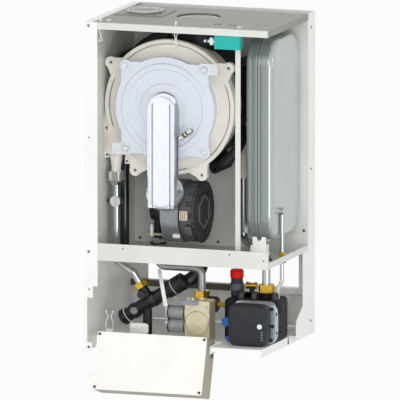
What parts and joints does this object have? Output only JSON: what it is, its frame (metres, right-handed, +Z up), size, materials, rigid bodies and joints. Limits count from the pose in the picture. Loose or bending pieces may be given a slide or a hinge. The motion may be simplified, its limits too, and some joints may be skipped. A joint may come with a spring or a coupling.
{
  "type": "wall-hung condensing boiler",
  "caption": "Wall-hung condensing boiler opened for service: burner door and manifold, fan, flat expansion vessel, gas valve, pump and a swing-down control box.",
  "frame": {"origin": "on the wall plane, midway between the two hanging slots", "axes": "+Z up, -Y out of the wall towards the user, +X to the user's right"},
  "size_m": [0.464, 0.3852, 0.9112],
  "materials": {
    "casing_white": "smooth white powder coat",
    "chamber_grey": "grey coated sheet steel",
    "tray_grey": "pale grey coated sheet steel",
    "back_plate": "bare galvanised sheet, in shade",
    "cream_plastic": "moulded cream composite",
    "dark_plastic": "moulded black plastic",
    "door_aluminium": "fine sand cast, bluish white",
    "manifold_aluminium": "die cast aluminium",
    "zinc": "zinc plated steel",
    "ceramic": "electrode ceramic on a bright steel foot",
    "coil_steel": "drawn stainless tube",
    "burner_steel": "perforated stainless burner with fibre insulation",
    "fan_grey": "die cast housing",
    "teal_plastic": "moulded teal plastic",
    "vessel_paint": "grey enamel on pressed steel",
    "diaphragm_rubber": "moulded rubber",
    "pipe_steel": "drawn bright pipe",
    "brass": "turned brass",
    "gas_pipe_steel": "bent steel pipe",
    "valve_cast": "khaki passivated die casting",
    "coil_grey": "moulded grey coils",
    "pump_plastic": "moulded charcoal plastic",
    "motor_cast": "cast aluminium",
    "red_plastic": "moulded red plastic",
    "blue_plastic": "moulded blue plastic",
    "white_plastic": "moulded white plastic",
    "box_plastic": "moulded warm white plastic",
    "board_green": "fibre circuit board",
    "window_dark": "smoked display window",
    "rubber_black": "moulded rubber",
    "spring_wire": "white coated spring wire"
  },
  "bodies": {
    "frame": {"air_intake_plate": "chamber_grey", "air_vent": "pump_plastic", "bottom_shelf": "casing_white", "burner": "burner_steel", "burner_door": "door_aluminium", "chamber_top": "chamber_grey", "chamber_tray": "tray_grey", "chamber_walls": "chamber_grey", "cover_clips": "spring_wire", "diverter_motor": "dark_plastic", "door_fixings": "zinc", "electrode": "ceramic", "exchanger_coil": "coil_steel", "exchanger_front_shell": "cream_plastic", "exchanger_rear_shell": "dark_plastic", "fan_cover": "dark_plastic", "fan_volute": "fan_grey", "fixing_screws": "zinc", "flow_manifold": "dark_plastic", "flow_sensor": "white_plastic", "flue_collar": "cream_plastic", "front_post": "casing_white", "gas_pipe": "gas_pipe_steel", "gas_solenoids": "coil_grey", "gas_valve": "valve_cast", "grommets": "rubber_black", "left_side_panel": "casing_white", "lower_back_plate": "back_plate", "manifold": "manifold_aluminium", "mixer": "dark_plastic", "pipe_couplings": "cream_plastic", "pressure_sensor": "dark_plastic", "pump_head": "pump_plastic", "pump_motor": "motor_cast", "rear_panel": "casing_white", "right_upright": "casing_white", "transformer": "teal_plastic", "trap_cup": "white_plastic", "union_nuts": "brass", "vessel_brackets": "casing_white", "vessel_diaphragm": "diaphragm_rubber", "vessel_fittings": "brass", "vessel_left_shell": "vessel_paint", "vessel_right_shell": "vessel_paint", "water_block": "dark_plastic", "water_pipes": "pipe_steel"},
    "fan_wheel": {"fan_impeller": "fan_grey"},
    "pump_wheel": {"pump_rotor": "coil_steel"},
    "pump_key": {"pump_button": "white_plastic"},
    "air_vent_cap": {"vent_cap": "red_plastic"},
    "fill_tap": {"fill_tap_knob": "blue_plastic"},
    "drain_tap": {"drain_tap_knob": "blue_plastic"},
    "control_box": {"control_case": "box_plastic", "control_cover": "box_plastic", "control_screws": "zinc", "circuit_board": "board_green", "display_window": "window_dark"},
    "heating_knob": {"heating_dial": "coil_grey"},
    "water_knob": {"water_dial": "coil_grey"},
    "reset_button": {"reset_key": "coil_grey"}
  },
  "joints": [
    {"name": "box_hinge", "type": "hinge", "parent": "frame", "child": "control_box", "pos_m": [-0.0615, -0.3165, -0.738], "axis": [1, 0, 0], "range_deg": [-162.5, 0]},
    {"name": "heating_turn", "type": "hinge", "parent": "control_box", "child": "heating_knob", "pos_m": [-0.14, -0.30259, -0.8053], "axis": [0, 0.9537, -0.3007], "range_deg": [-150, 150]},
    {"name": "water_turn", "type": "hinge", "parent": "control_box", "child": "water_knob", "pos_m": [0.017, -0.30259, -0.8053], "axis": [0, 0.9537, -0.3007], "range_deg": [-150, 150]},
    {"name": "reset_press", "type": "slide", "parent": "control_box", "child": "reset_button", "axis": [0, -0.9537, 0.3007], "range_m": [0, 0.0015], "stiffness_N_per_m": 800},
    {"name": "fan_spin", "type": "hinge", "parent": "frame", "child": "fan_wheel", "pos_m": [-0.0295, -0.24, -0.4218], "axis": [1, 0, 0], "continuous": true},
    {"name": "pump_spin", "type": "hinge", "parent": "frame", "child": "pump_wheel", "pos_m": [0.1685, -0.245, -0.6797], "axis": [0, 1, 0], "continuous": true},
    {"name": "pump_press", "type": "slide", "parent": "frame", "child": "pump_key", "axis": [0, 1, 0], "range_m": [0, 0.0015], "stiffness_N_per_m": 800},
    {"name": "vent_turn", "type": "hinge", "parent": "frame", "child": "air_vent_cap", "pos_m": [0.105, -0.205, -0.575], "axis": [0, 0, 1], "range_deg": [0, 360]},
    {"name": "fill_turn", "type": "hinge", "parent": "frame", "child": "fill_tap", "pos_m": [0.098, -0.255, -0.6825], "axis": [0, -1, 0], "range_deg": [0, 360]},
    {"name": "drain_turn", "type": "hinge", "parent": "frame", "child": "drain_tap", "pos_m": [0.104, -0.255, -0.7215], "axis": [0, -1, 0], "range_deg": [0, 90]}
  ]
}
